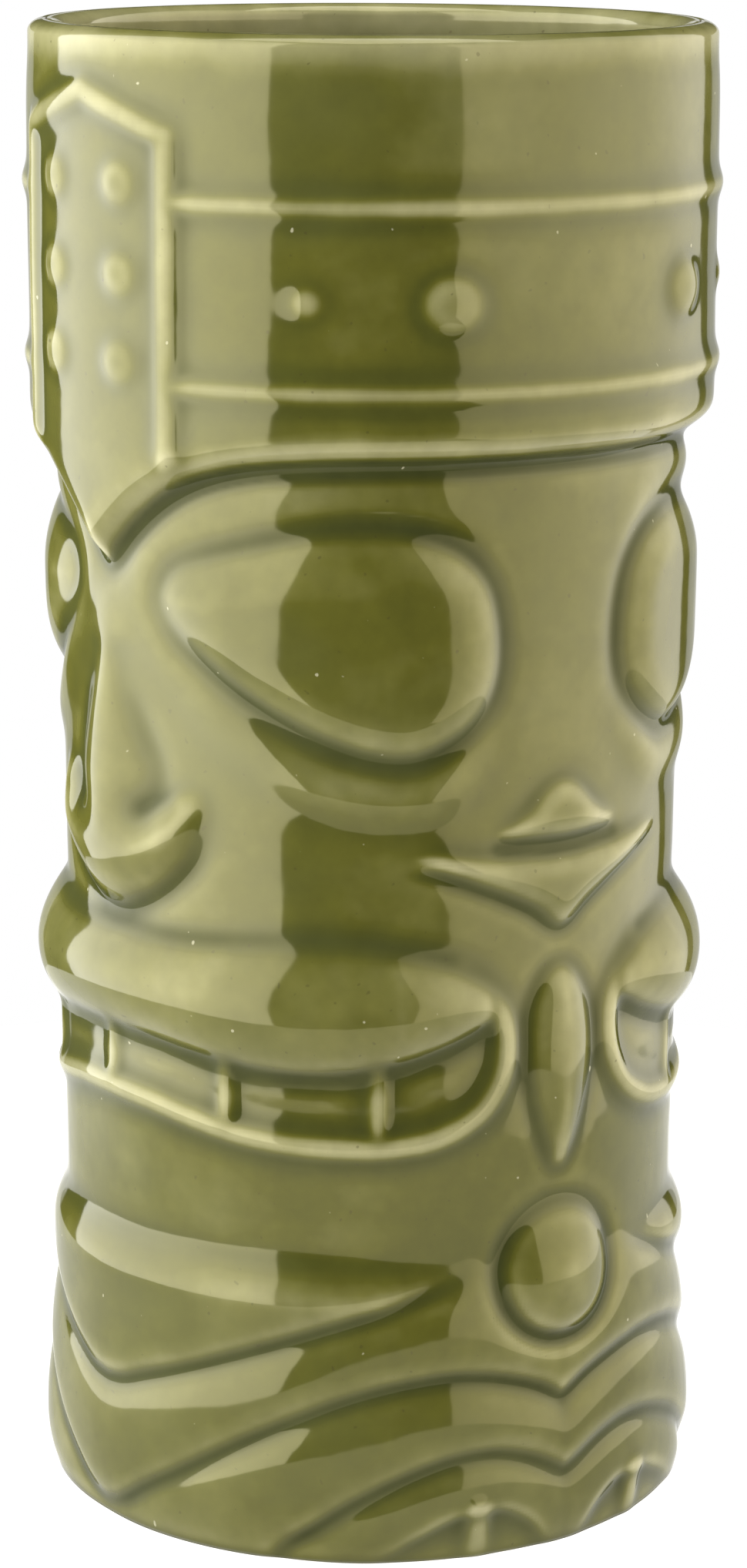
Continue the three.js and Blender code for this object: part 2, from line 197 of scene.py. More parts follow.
GROOVE_3 = line([(30, -3), (37, 1), (40, 2.8), (45, 5.3), (50, 7.6), (60, 11), (70, 12.9), (76, 13),
                 (82, 12), (90, 9.4)])
ARCH = line([(45, -4), (53, 0.5), (57, 2.3), (62, 4.3), (68, 6.2), (74, 6.9), (80, 6), (84, 3.8),
             (87, 1), (90, -2)])

PLAQUE_EDGE = 19.2     # half of a plaque's width, degrees
PLAQUE_CORNERS = [(-PLAQUE_EDGE, 121), (-PLAQUE_EDGE, 159.2), (0, 163.5), (PLAQUE_EDGE, 159.2),
                  (PLAQUE_EDGE, 121)]
PLAQUE = unroll(PLAQUE_CORNERS, straight=True)
BROW = unroll([(3, 109), (10, 113), (20, 117), (30, 119.4), (40, 120.9), (50, 121.5), (60, 121.4),
               (70, 120.2), (76, 117.2), (79.5, 112.5)])
EYE = unroll([(12.6, 109.2), (14.4, 111.7), (18, 113.4), (23, 114.5), (29, 115.5), (36, 116.6),
              (44, 117.7), (53, 118.1), (62, 117.4), (69.5, 115.4), (74.4, 112), (76.6, 107.4),
              (76.6, 102), (74, 97.8), (68.6, 94.5), (61, 92.5), (53, 92.9), (44, 94.8), (37, 96.9),
              (30, 99.3), (23, 102.1), (17, 104.7), (13.8, 106.8)], closed=True)
LID = unroll([(7.5, 109), (10, 106.6), (15, 103.2), (20, 100), (25, 97), (30, 94.6), (40, 91.1),
              (50, 89.3), (60, 88.8), (67, 89.8), (73, 92.6), (78, 97)])
NOSE_GROOVE = unroll([(3.4, 102), (4.8, 98.6), (7.2, 95.8), (9.8, 93), (12, 90.4), (11.8, 87.8),
                      (9, 85.6)])
NOSE_TIP_HALF = [(0, 73.2), (5, 73.7), (11.5, 75.6), (17, 78.1), (21, 81), (23.6, 84.4), (24, 86.4),
                 (21.6, 88.4), (17.4, 88.2), (14, 86.8), (9, 86), (5, 88), (0, 90)]
NOSE_TIP = unroll(mirrored(NOSE_TIP_HALF[::-1], 0)[:-1], closed=True)
UPPER_BUD_HALF = [(76.2, 83.6), (79.5, 85.2), (82.6, 86.7), (86.2, 88.8), (90, 89.6)]
UPPER_BUD = unroll(mirrored(UPPER_BUD_HALF, 90) + [(97, 82.9), (90, 82.7), (83, 82.9)], closed=True)
LOWER_BUD_HALF = [(90, 81.2), (82, 81.4), (74, 81.9), (66, 82.2), (61.5, 81.6), (66, 80.1),
                  (72, 78.5), (78, 76.9), (84, 75), (87.6, 73.3), (90, 72.7)]
LOWER_BUD = unroll(mirrored(LOWER_BUD_HALF, 90)[:-1], closed=True)
BUD_SLIT = unroll([(77, 82.2), (90, 81.9), (103, 82.2)])
LOWER_LIP = unroll([(-20, 51), (-10, 52), (0, 52.3), (10, 52), (20, 51), (30, 49.9), (40, 49.3),
                    (50, 49.1), (58, 49.3), (66, 50.2), (73.2, 52.7), (77.2, 56.4), (78.4, 60.2),
                    (77.2, 63.6), (74.4, 66.4), (70, 68.8)])
MOUTH_HALF = [(0, 53.2), (10, 52.9), (20, 51.8), (30, 50.9), (40, 50.5), (50, 50.5), (60, 51),
              (68, 52.8), (74, 56), (76.4, 59), (75.6, 62.4), (66, 60.6), (56, 58.4), (45, 57.6),
              (34, 57.8), (20, 58.9), (10, 59.7), (0, 60)]
MOUTH = unroll(mirrored(MOUTH_HALF[::-1], 0)[:-1], closed=True)
TOOTH_BARS = [unroll([(phi, low), (phi, high)]) for phi, low, high in
              ((0, 53.2, 60), (27.1, 51.6, 58.4), (55, 50.8, 58.2))]
TEETH = [(14, 56.1, 9.5, 1.3), (41, 54.8, 10.5, 1.2), (65.5, 56.7, 6.5, 1.5)]   # angle, height, half spans
LEAF_HALF = [(90, 45.2), (87.4, 47), (84.8, 51), (83, 55.6), (82.5, 60), (83.6, 64), (86, 67),
             (88.4, 68.2), (90, 68.4)]
LEAF = unroll(mirrored(LEAF_HALF, 90)[:-1], closed=True)
ARCH_BAR = unroll([(72.7, -2), (72.7, 7.2)])

RIB_HEIGHTS = (132.8, 152.3)
# Angle, height, radius, rise and shoulder of each stud.
PLAQUE_STUDS = [(9.2, z, 2.8, 0.7, 2.2) for z in (134.8, 144.2, 153.9)]
BAND_STUDS = [(43, 142.3, 1.9, 0.6, 1.9), (66, 142.2, 3.5, 1.2, 3.3)]
BOSS = (90, 33.2, 7.6)   # angle, height, radius

# How far each feature stands out of the wall, mm.
RIB_RISE = 0.85
FRAME_RISE = 0.9
EYEBALL_RISE = 1.9
BROW_RISE = 0.45
NOSE_TIP_RISE = 2.9
NOSE_ROOT_RISE = 1.1
UPPER_BUD_RISE = 1.15
LOWER_BUD_RISE = 1.25
LIP_RISE = 3.5
TOOTH_RISE = 1.75
LOWER_LIP_RISE = 1.2
LEAF_RISE = 1.75
BOSS_RISE = 2.6
# How far each is cut into it, mm.
BAND_UNDERCUT = 0.4
NOSE_GROOVE_DEPTH = 0.4
NOSE_EDGE_DEPTH = 0.35
BUD_SLIT_DEPTH = 0.4
BUD_UNDERCUT = 0.35
HOLLOW = 1.65          # depth of the mouth behind the teeth
LIP_CREASE_DEPTH = 0.15
LEAF_EDGE_DEPTH = 0.22
CHEVRON_DEPTH = 1.5
ARCH_DEPTH = 0.95


# ---------------------------------------------------------------- the relief, part by part, mm
def stud(phi, z, centre, level, radius, rise, shoulder):
    away = np.hypot((phi - centre) * ARC, z - level)
    return rise * dome(radius - away, shoulder)


def headband(phi, x, z):
    up = above(ledge, phi, z)
    rounding = 3.3 + 1.6 * np.exp(-((phi / 14) ** 2))
    t = np.clip(up / rounding, 0, 1)
    step = (BAND_RADIUS - SHAFT_RADIUS - 0.3) * (1 - (1 - t) ** 2.3)
    beside_plaque = smooth(PLAQUE_EDGE, PLAQUE_EDGE + 1.5, phi)
    ribs = RIB_RISE * sum(bump(z - level, 1.1) for level in RIB_HEIGHTS) * beside_plaque
    frame_edge = FRAME_RISE * bump(distance_to(PLAQUE, x, z), 1.35, 3) * smooth(1.6, 3.6, up)
    studs = sum(stud(phi, z, *s) for s in PLAQUE_STUDS + BAND_STUDS)
    return step + union(ribs, frame_edge, 0.15) + studs - BAND_UNDERCUT * bump(up + 0.5, 1.2)


def eye(phi, x, z):
    depth = depth_inside(EYE, x, z)
    outer = smooth(16, 46, phi)
    shoulder = np.interp(z, [94, 106, 117], [4.2, 5.5, 9.0])
    shoulder = shoulder + (4.5 - shoulder) * smooth(50, 64, phi)
    ball = EYEBALL_RISE * dome(depth, shoulder) * (0.45 + 0.55 * smooth(10, 28, phi))
    brow = BROW_RISE * bump(distance_to(BROW, x, z), 2.6)
    brow = brow * (1 - smooth(64, 80, phi)) * smooth(2, 9, phi) * (0.5 + 0.5 * outer)
    lid_rise = 0.45 * smooth(4, 14, phi) + 0.6 * smooth(26, 48, phi)
    lid = bump(distance_to(LID, x, z), 3.0) * (1 - smooth(64, 79, phi)) * lid_rise
    lid = lid * (1 - smooth(0, 1.2, depth))
    return ball + brow + lid - (0.33 + 0.07 * outer) * bump(depth + 0.4, 1.6)


def nose(phi, x, z):
    half = np.interp(z, [84, 90, 94, 99, 112], [9.6, 9.0, 7.4, 6.2, 4.6])
    rise = np.interp(z, [80, 88, 95, 99, 103, 108], [2.7, 2.3, 1.6, 1.1, 0.45, 0.15])
    bridge = rise * (1 - smooth(0, 1, np.abs(x) / half)) * smooth(74, 82, z) * (1 - smooth(106, 113, z))
    depth = depth_inside(NOSE_TIP, x, z)
    tip = NOSE_TIP_RISE * dome(depth, 6.8) * (1 - 0.5 * smooth(13, 24, np.abs(phi)))
    edge = NOSE_EDGE_DEPTH * bump(depth + 0.8, 1.4) * (1 - smooth(78, 85, z))
    flank = NOSE_GROOVE_DEPTH * bump(distance_to(NOSE_GROOVE, x, z), 2.0) + edge
    root = NOSE_ROOT_RISE * bump(x, 6.5) * smooth(80, 90, z) * (1 - smooth(104, 113, z))
    return union(bridge, tip, 0.6) + root - flank


def buds(phi, x, z):
    upper = UPPER_BUD_RISE * dome(depth_inside(UPPER_BUD, x, z), 2.4)
    lower_depth = depth_inside(LOWER_BUD, x, z)
    lower = LOWER_BUD_RISE * dome(lower_depth, 2.6)
    slit = BUD_SLIT_DEPTH * bump(distance_to(BUD_SLIT, x, z), 1.0)
    under = BUD_UNDERCUT * bump(lower_depth + 0.6, 0.9) * (z < 80)
    return upper + lower - slit - under


def mouth(phi, x, z):
    top, crest, bottom = LIP_TOP(phi), LIP_CREST(phi), LIP_BOTTOM(phi)
    reach = np.where(z > crest, top - crest, crest - bottom)
    fullness = LIP_RISE * np.clip((top - bottom) / 13.5, 0, 1) ** 0.8 * (1 - smooth(74, 79, phi))
    power = np.where(z > crest, 1.25, 0.8)
    lip = fullness * np.clip(1 - ((z - crest) / np.maximum(reach, 0.3)) ** 2, 0, 1) ** power
    hollow = HOLLOW * smooth(-0.4, 0.7, depth_inside(MOUTH, x, z))
    teeth = sum(TOOTH_RISE * dome(1 - np.hypot((phi - centre) / wide, (z - level) / tall), 0.6)
                for centre, level, wide, tall in TEETH)
    bars = sum((HOLLOW + 0.9) * bump(distance_to(bar, x, z), 2.0, 2.4) for bar in TOOTH_BARS) - HOLLOW
    to_lip = distance_to(LOWER_LIP, x, z)
    ridge = LOWER_LIP_RISE * bump(to_lip, 1.4, 3) * (1 - 0.6 * smooth(63, 69, z))
    outside = (z < 58) | (phi > 74)
    under = 0.12 * bump(to_lip - 2.7, 1.3) * outside * (1 - smooth(56, 64, z))
    crease = LIP_CREASE_DEPTH * bump(above(LIP_TOP, phi, z) - 0.4, 1.6) * (1 - smooth(70, 78, phi))
    recess = union(teeth - hollow, bars, 0.15)
    return union(union(recess, ridge - under, 0.15), lip - crease, 0.3)


def side_ornaments(phi, x, z):
    depth = depth_inside(LEAF, x, z)
    leaf = LEAF_RISE * (1 - (1 - np.clip(depth / 4.5, 0, 1)) ** 1.5)
    leaf = leaf - LEAF_EDGE_DEPTH * bump(depth + 0.6, 0.9)
    centre, level, radius = BOSS
    away = np.hypot((phi - centre) * ARC, z - level)
    low_side = 0.5 - 0.5 * np.clip((z - level) / radius, -1, 1)
    boss = BOSS_RISE * np.clip(1 - (away / radius) ** 1.5, 0, 1)
    moat = (0.3 + 0.6 * low_side) * bump(away - radius - 0.6, 1.5 - 0.5 * low_side)
    return leaf + boss - moat


def groove(distance, upper=0.8, lower=2.0):
    """A groove between two bands: steep under the upper band, easing on to the lower one."""
    side = np.where(distance > 0, upper, lower)
    return -CHEVRON_DEPTH * np.exp(-np.sqrt((distance / side) ** 2 + 0.04))


def chevrons(phi, x, z):
    first = groove(above(GROOVE_1, phi, z)) * (1 - smooth(58, 74, phi))
    second = groove(above(GROOVE_2, phi, z))
    third = groove(above(GROOVE_3, phi, z)) * smooth(34, 38, phi)
    arch_depth = -above(ARCH, phi, z)
    arch = ARCH_DEPTH * smooth(-0.2, 1.0, arch_depth) * (phi > 50)
    bar = ARCH_DEPTH * bump(distance_to(ARCH_BAR, x, z), 1.3, 3) * (arch_depth > -0.5)
    return (np.minimum(np.minimum(first, second), third) - arch + bar) * smooth(-0.5, 4.5, z)


def plain_wall(phi, z):
    """Glazed radius of the wall without its carving."""
    shaft = SHAFT_RADIUS + 0.3 * smooth(88, 120, z)
    edge = WEDGE_TOP(phi)
    crisp = 1 - smooth(edge - 5.4, edge + 0.2, z)
    gentle = 1 - smooth(23, 38, z)
    share = smooth(54, 80, phi)
    flare = 1.7 * (crisp * (1 - share) + gentle * share) + 1.05 * (1 - smooth(8, 26, z))
    tuck = 2.4 * (1 - np.sqrt(1 - np.clip((7 - z) / 7, 0, 1) ** 2))
    seam = 0.05 * bump((phi - 90) * ARC, 0.5) * (1 - smooth(20, 30, z))
    rim = 0.25 * smooth(160, 169, z)
    cheeks = 0.35 * (1 - smooth(56, 68, z)) + 0.15 * smooth(40, 50, z) * (1 - smooth(56, 68, z))
    return shaft + cheeks + flare - tuck - seam - rim


def quarter_relief(phi, z):
    """Glazed radius over the quarter's grid, mm. Each part is worked out only on the rows that it reaches."""
    radius = plain_wall(phi, z)
    for part, low, high in ((chevrons, 0, 46), (side_ornaments, 18, 74), (mouth, 40, 76), (nose, 70, 114),
                            (buds, 68, 94), (eye, 80, 126), (headband, 106, 170)):
        rows = (z[:, 0] >= low) & (z[:, 0] <= high)
        radius[rows] += part(phi[rows], phi[rows] * ARC, z[rows])
    return radius


def lip_shade_and_pool(phi, z):
    """1 under the upper lip inside the mouth, where glaze gathers and shade is painted, fading to 0 down the
    teeth.
    """
    field = np.zeros(phi.shape)
    rows = (z[:, 0] >= 48) & (z[:, 0] <= 66)
    inside = smooth(0, 0.8, depth_inside(MOUTH, phi[rows] * ARC, z[rows]))
    field[rows] = inside * (1 - smooth(1.2, 3.4, LIP_BOTTOM(phi[rows]) - z[rows]))
    return field


# ---------------------------------------------------------------- grids all round the mug
def all_round(quarter):
    """A quarter's field, mirrored four times."""
    half = np.hstack([quarter[:, :-1], quarter[:, :0:-1]])
    return np.hstack([half, half])


def blur(field, radius):
    """Gaussian blur by a radius in mm, wrapping round the mug and held at the ends."""
    for axis, sigma in ((0, radius / ROW_STEP), (1, radius / COLUMN_STEP)):
        reach = int(3 * sigma) + 1
        kernel = np.exp(-0.5 * (np.arange(-reach, reach + 1) / sigma) ** 2)
        kernel /= kernel.sum()
        pads = [(0, 0), (0, 0)]
        pads[axis] = (reach, reach)
        padded = np.pad(field, pads, mode="wrap" if axis else "edge")
        total = np.zeros_like(field)
        for k, weight in enumerate(kernel):
            window = [slice(None), slice(None)]
            window[axis] = slice(k, k + field.shape[axis])
            total += weight * padded[tuple(window)]
        field = total
    return field


def wobble(phi, z):
    """The slow unevenness of a cast wall under a thick glaze."""
    field = np.zeros(phi.shape)
    for _ in range(WOBBLE_WAVES):
        turns = int(rng.integers(1, 14))
        pitch = rng.uniform(14, 60)
        field += np.sin(np.radians(turns * phi) + 2 * np.pi * z / pitch + rng.uniform(0, 2 * np.pi))
    return WOBBLE_RISE * field


Z_ROWS = np.linspace(FOOT_BARE, WALL_TOP, int((WALL_TOP - FOOT_BARE) / ROW_STEP) + 1)
ANGLES = np.arange(4 * QUARTER_STEPS) * 90 / QUARTER_STEPS
COLUMN_STEP = ARC * 90 / QUARTER_STEPS
QUARTER_GRID = np.meshgrid(np.linspace(0, 90, QUARTER_STEPS + 1), Z_ROWS)


def outer_radius():
    """Radius of the clay's relief and of the glaze on it, on the whole grid."""
    radius = all_round(quarter_relief(*QUARTER_GRID))
    full_phi, full_z = np.meshgrid(ANGLES, Z_ROWS)
    to_lip = smooth(WALL_TOP - LIP_BLEND, WALL_TOP, full_z)
    clay = radius * (1 - to_lip) + LIP_RADIUS * to_lip
    surface = blur(clay, GLAZE_FLOW) + wobble(full_phi, full_z) * (1 - to_lip)
    top = slice(-CRISP_ROWS, None)
    surface[top] = surface[top] * (1 - to_lip[top]) + clay[top] * to_lip[top]
    return clay, surface


CLAY, OUTER = outer_radius()


def pooling_and_shade():
    """0 where the glaze runs thin over edges, 0.5 on plain wall, 1 where it pools in grooves, with painted
    shade added under the upper lip.
    """
    filled = np.maximum(blur(CLAY, POOL_REACH) - CLAY, 0)
    bared = np.maximum(CLAY - blur(CLAY, EDGE_REACH), 0)
    spread = 0.5 + blur(POOL_GAIN * filled - EDGE_GAIN * bared, POOL_SOFTNESS)
    # painted shade under the upper lip, counted with the glaze that gathers there
    shade_and_pool_under_lip = LIP_SHADE_AND_POOL_GAIN * all_round(lip_shade_and_pool(*QUARTER_GRID))
    thin_rim = 0.25 * smooth(164.5, 169.2, Z_ROWS)[:, None]
    return np.clip(spread + shade_and_pool_under_lip - thin_rim, 0, 1)


def sample(field, rows_z):
    """Rows of a grid at other heights."""
    at = np.interp(rows_z, Z_ROWS, np.arange(len(Z_ROWS)))
    low = np.clip(at.astype(int), 0, len(Z_ROWS) - 2)
    share = (at - low)[:, None]
    return field[low] * (1 - share) + field[low + 1] * share


def lowest_nearby(field, rows, columns):
    """The least value within a window, so that a coarse face under a fine one stays under it."""
    best = field.copy()
    for shift in range(-columns, columns + 1):
        best = np.minimum(best, np.roll(field, shift, 1))
    padded = np.pad(best, ((rows, rows), (0, 0)), mode="edge")
    return np.min([padded[k:k + len(field)] for k in range(2 * rows + 1)], axis=0)


HIDDEN_ROWS = np.linspace(FOOT_BARE, WALL_TOP, int((WALL_TOP - FOOT_BARE) / HIDDEN_ROW_STEP) + 1)
UNDER = sample(lowest_nearby(OUTER, int(HIDDEN_ROW_STEP / ROW_STEP) + 1, 1), HIDDEN_ROWS)
INNER = blur(OUTER, INSIDE_SOFTNESS) - WALL


# ---------------------------------------------------------------- rings and skins
SIN, COS = np.sin(np.radians(ANGLES)), np.cos(np.radians(ANGLES))


def ring(radius, z):
    """Points of one ring round the mug."""
    radius = np.broadcast_to(radius, ANGLES.shape)
    return np.stack([radius * SIN, -radius * COS, np.broadcast_to(z, ANGLES.shape)], 1)


def wall_rings(radii, heights, depth=0.0):
    return [ring(r - depth, z) for r, z in zip(radii, heights)]


def lip_rings(turns, depth):
    """Rings over the rounded lip, outside to inside, at a depth under its glazed surface."""
    middle = (LIP_RADIUS + RIM_INNER) / 2
    half = (LIP_RADIUS - RIM_INNER) / 2
    rings = []
    for turn in np.radians(turns):
        height = WALL_TOP + (RIM_ROUND - depth) * math.sin(turn)
        rings.append(ring(middle + (half - depth) * math.cos(turn), height))
    return rings


def inner_rings(step, depth):
    """Rings down the inside wall and round the corner to the floor, at a depth behind the glazed surface."""
    corner_top = FLOOR_THICKNESS + FLOOR_CORNER
    heights = np.linspace(WALL_TOP, corner_top, int((WALL_TOP - corner_top) / step) + 1)
    radii = sample(INNER, heights)
    to_rim = smooth(WALL_TOP - 14, WALL_TOP, heights)[:, None]
    foot = radii[-1].mean()
    to_floor = 1 - smooth(corner_top, corner_top + 16, heights)[:, None]
    radii = radii * (1 - to_floor) + foot * to_floor
    radii = radii * (1 - to_rim) + RIM_INNER * to_rim
    rings = [ring(r + depth, z) for r, z in zip(radii, heights)]
    for turn in np.radians(np.arange(10, 91, 10)):
        reach = FLOOR_CORNER + depth
        rings.append(ring(foot - FLOOR_CORNER + reach * math.cos(turn), corner_top - reach * math.sin(turn)))
    return rings


def floor_rings(z, count):
    """Rings across the floor inside, from its corner to the axis."""
    shares = np.linspace(0, 1, count + 1)[1:]
    return [ring(FLOOR_RADIUS + (AXIS_GAP - FLOOR_RADIUS) * s, z) for s in shares]


def skin(rings, closed):
    """Points and faces of a lofted skin: it returns to its first ring, or closes on the axis at both ends."""
    count = len(ANGLES)
    points = np.concatenate(rings)
    bands = len(rings) if closed else len(rings) - 1
    row = np.arange(bands)[:, None] * count
    after = (np.arange(1, bands + 1)[:, None] % len(rings)) * count
    i = np.arange(count)[None]
    j = (i + 1) % count
    faces = np.stack([row + i, row + j, after + j, after + i], 2).reshape(-1, 4)
    if closed:
        return points, faces, np.zeros((0, 3), int)
    first, last = rings[0].mean(0), rings[-1].mean(0)
    tail = len(points)
    points = np.vstack([points, first, last])
    end = (len(rings) - 1) * count
    i, j = i[0], j[0]
    first_fan = np.stack([j, i, np.full(count, tail)], 1)
    last_fan = np.stack([end + i, end + j, np.full(count, tail + 1)], 1)
    return points, faces, np.concatenate([first_fan, last_fan])


def new_piece(name, rings, closed, node, material, pool_and_shade=None):
    """One visible piece from its rings, with how far the glaze has pooled, and the painted shade, stored on
    its points.
    """
    points, quads, fans = skin(rings, closed)
    mesh = bpy.data.meshes.new(name)
    mesh.vertices.add(len(points))
    mesh.vertices.foreach_set("co", (points * MM).astype(np.float32).ravel())
    corners = np.concatenate([quads.ravel(), fans.ravel()])
    sizes = np.concatenate([np.full(len(quads), 4), np.full(len(fans), 3)])
    mesh.loops.add(len(corners))
    mesh.loops.foreach_set("vertex_index", corners.astype(np.int32))
    mesh.polygons.add(len(sizes))
    starts = np.concatenate([[0], np.cumsum(sizes)[:-1]])
    mesh.polygons.foreach_set("loop_start", starts.astype(np.int32))
    mesh.polygons.foreach_set("use_smooth", np.ones(len(sizes), bool))
    mesh.update(calc_edges=True)
    values = np.full(len(points), 0.5, np.float32)
    if pool_and_shade is not None:
        values[:pool_and_shade.size] = pool_and_shade.ravel()
    mesh.attributes.new("pooling_and_shade", "FLOAT", "POINT").data.foreach_set("value", values)
    mesh.materials.append(material)
    piece = bpy.data.objects.new(name, mesh)
    bpy.context.scene.collection.objects.link(piece)
    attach(piece, "root")
    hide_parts(node)
    return piece


# ---------------------------------------------------------------- materials
def grey(level):
    return (level, level, level)


class Nodes:
    """Short calls for building one material's node tree."""

    def __init__(self, name):
        self.material = bpy.data.materials.new(name)
        self.material.use_nodes = True
        self.tree = self.material.node_tree
        self.shader = self.tree.nodes["Principled BSDF"]

    def add(self, kind, **settings):
        node = self.tree.nodes.new(kind)
        for key, value in settings.items():
            if hasattr(node, key):
                setattr(node, key, value)
            else:
                node.inputs[key.replace("_", " ").title()].default_value = value
        return node

    def link(self, source, target):
        self.tree.links.new(source, target)

    def noise(self, scale, detail=2.0, roughness=0.5):
        """Noise fixed to the piece, with its scale in waves per metre."""
        node = self.add("ShaderNodeTexNoise", Scale=scale, Detail=detail, Roughness=roughness)
        place = self.tree.nodes.get("Place") or self.add("ShaderNodeTexCoord", name="Place")
        self.link(place.outputs["Object"], node.inputs["Vector"])
        return node.outputs["Fac"]

    def ramp(self, source, stops):
        """A colour ramp through (position, colour) stops."""
        node = self.add("ShaderNodeValToRGB")
        elements = node.color_ramp.elements
        while len(elements) < len(stops):
            elements.new(0.5)
        for element, (position, colour) in zip(elements, stops):
            element.position = position
            element.color = (*colour, 1)
        self.link(source, node.inputs["Fac"])
        return node.outputs["Color"]

    def maths(self, operation, a, b):
        """A sum or product of two sockets or plain numbers."""
        node = self.add("ShaderNodeMath", operation=operation)
        for socket, value in zip(node.inputs, (a, b)):
            if isinstance(value, (int, float)):
                socket.default_value = value
            else:
                self.link(value, socket)
        return node.outputs[0]

    def mix(self, blend, amount, a, b):
        """Two colours mixed: the node's sockets 0, 6, 7 and 2 are its factor, A, B and result as colours."""
        node = self.add("ShaderNodeMix", data_type="RGBA", blend_type=blend)
        for socket, value in zip((node.inputs[0], node.inputs[6], node.inputs[7]), (amount, a, b)):
            if isinstance(value, (int, float)):
                socket.default_value = value
            elif isinstance(value, tuple):
                socket.default_value = (*value, 1)
            else:
                self.link(value, socket)
        return node.outputs[2]

    def bump(self, height, strength, distance):
        node = self.add("ShaderNodeBump", Strength=strength, Distance=distance)
        self.link(height, node.inputs["Height"])
        self.link(node.outputs["Normal"], self.shader.inputs["Normal"])


# Colour of the glaze by how far it has pooled, from bared edges to filled grooves, and darker where shade is
# painted under the upper lip.
GLAZE_STOPS = [
    (0.0, (0.36, 0.34, 0.2)),
    (0.25, (0.22, 0.21, 0.1)),
    (0.42, (0.105, 0.102, 0.026)),
    (0.5, (0.07, 0.069, 0.011)),
    (0.64, (0.049, 0.051, 0.009)),
    (1.0, (0.032, 0.036, 0.01)),
]
HAZE_COLOUR = (0.088, 0.092, 0.036)
SPECK_COLOUR = (0.035, 0.03, 0.012)
PINHOLE_COLOUR = (0.45, 0.43, 0.3)
WARM_GLOSS = (1.0, 0.93, 0.58, 1.0)
GLAZE_IOR = 1.52
IRON_COLOUR = (0.22, 0.14, 0.08)


def glaze_colour(n, pool_and_shade):
    """Colour by how far the glaze has pooled, with the painted shade under the upper lip, and a cloudy noise,
    under mottling, milky haze, dark specks and pale pinholes.
    """
    cloud = n.maths("MULTIPLY", n.maths("SUBTRACT", n.noise(50, 4, 0.6), 0.5), 0.42)
    colour = n.ramp(n.maths("ADD", pool_and_shade, cloud), GLAZE_STOPS)
    mottle = n.ramp(n.noise(260, 4, 0.6), [(0.3, grey(0.9)), (0.7, (1.08, 1.08, 1.06))])
    colour = n.mix("MULTIPLY", 1.0, colour, mottle)
    haze = n.ramp(n.noise(34, 3, 0.55), [(0.46, grey(0.0)), (0.66, grey(0.25))])
    colour = n.mix("MIX", haze, colour, HAZE_COLOUR)
    specks = n.ramp(n.noise(1300, 0, 0.4), [(0.82, grey(0.0)), (0.86, grey(1.0))])
    colour = n.mix("MIX", n.maths("MULTIPLY", specks, 0.4), colour, SPECK_COLOUR)
    pinholes = n.ramp(n.noise(1000, 0, 0.4), [(0.09, grey(1.0)), (0.12, grey(0.0))])
    return n.mix("MIX", n.maths("MULTIPLY", pinholes, 0.5), colour, PINHOLE_COLOUR)


def glaze_gloss(n, pool_and_shade):
    """Gloss level: lower where the glaze pools, as painted shade in its hollows, and lower still where the
    surface turns away from the camera, as painted shade on the reflections towards the outline.
    """
    # painted shade: the reflections are dimmed in the deepest hollows
    hollow_reflection_shade = n.ramp(pool_and_shade, [(0.65, grey(0.5)), (1.0, grey(0.2))])
    # painted shade: the reflections are dimmed where the surface turns away from the camera
    facing = n.add("ShaderNodeLayerWeight", Blend=0.5).outputs["Facing"]
    outline_reflection_shade = n.ramp(facing, [(0.55, grey(1.0)), (0.72, grey(0.3)), (0.88, grey(0.05))])
    return n.maths("MULTIPLY", hollow_reflection_shade, outline_reflection_shade)


def glaze(name, roughness=0.05):
    """A glossy, translucent olive glaze: pale where thin, dark and greyer where it pools."""
    n = Nodes(name)
    pool_and_shade = n.add("ShaderNodeAttribute", attribute_name="pooling_and_shade").outputs["Fac"]
    n.link(glaze_colour(n, pool_and_shade), n.shader.inputs["Base Color"])
    rough = n.maths("ADD", n.maths("MULTIPLY", n.noise(120, 3), 0.05), roughness)
    n.link(rough, n.shader.inputs["Roughness"])
    n.link(glaze_gloss(n, pool_and_shade), n.shader.inputs["Specular IOR Level"])
    n.shader.inputs["IOR"].default_value = GLAZE_IOR
    n.shader.inputs["Specular Tint"].default_value = WARM_GLOSS
    n.bump(n.noise(170, 2, 0.4), strength=0.12, distance=0.0004)
    return n.material


def stoneware(name):
    """Bare bisque clay: warm, matt and finely grained, with iron specks."""
    n = Nodes(name)
    tone = n.ramp(n.noise(70, 5, 0.6), [(0.3, (0.55, 0.46, 0.33)), (0.7, (0.72, 0.64, 0.5))])
    grit = n.ramp(n.noise(1500, 2, 0.5), [(0.66, grey(0.0)), (0.74, grey(1.0))])
    colour = n.mix("MIX", n.maths("MULTIPLY", grit, 0.6), tone, IRON_COLOUR)
    n.link(colour, n.shader.inputs["Base Color"])
    rough = n.maths("ADD", n.maths("MULTIPLY", n.noise(400, 3), 0.2), 0.72)
    n.link(rough, n.shader.inputs["Roughness"])
    n.bump(n.noise(1300, 4, 0.6), strength=0.5, distance=0.0003)
    return n.material


# ---------------------------------------------------------------- the four pieces
# Rings over the lip, as degrees round it: 0 is outside, 90 its crown and 180 inside.
OUTER_LIP_TURNS = [12, 25, 38, 50, 62, 74, 86]
INNER_LIP_TURNS = [94, 106, 118, 130, 142, 155, 168]
LINER_POOLING = 0.54


def build_outer_glaze():
    """The coat over the carved outside, to the crown of the lip."""
    rings = wall_rings(OUTER, Z_ROWS) + lip_rings(OUTER_LIP_TURNS, 0)
    lip_pool = np.interp(OUTER_LIP_TURNS, [10, 50, 90], [0.25, 0.38, 0.42])
    pool_and_shade = np.vstack([pooling_and_shade(), np.repeat(lip_pool[:, None], len(ANGLES), 1)])
    rings += lip_rings(OUTER_LIP_TURNS[::-1], GLAZE)
    rings += wall_rings(UNDER[::-1], HIDDEN_ROWS[::-1], GLAZE)
    material = glaze("olive_glaze")
    return new_piece("outer_glaze_coat", rings, True, "outer_glaze", material, pool_and_shade)


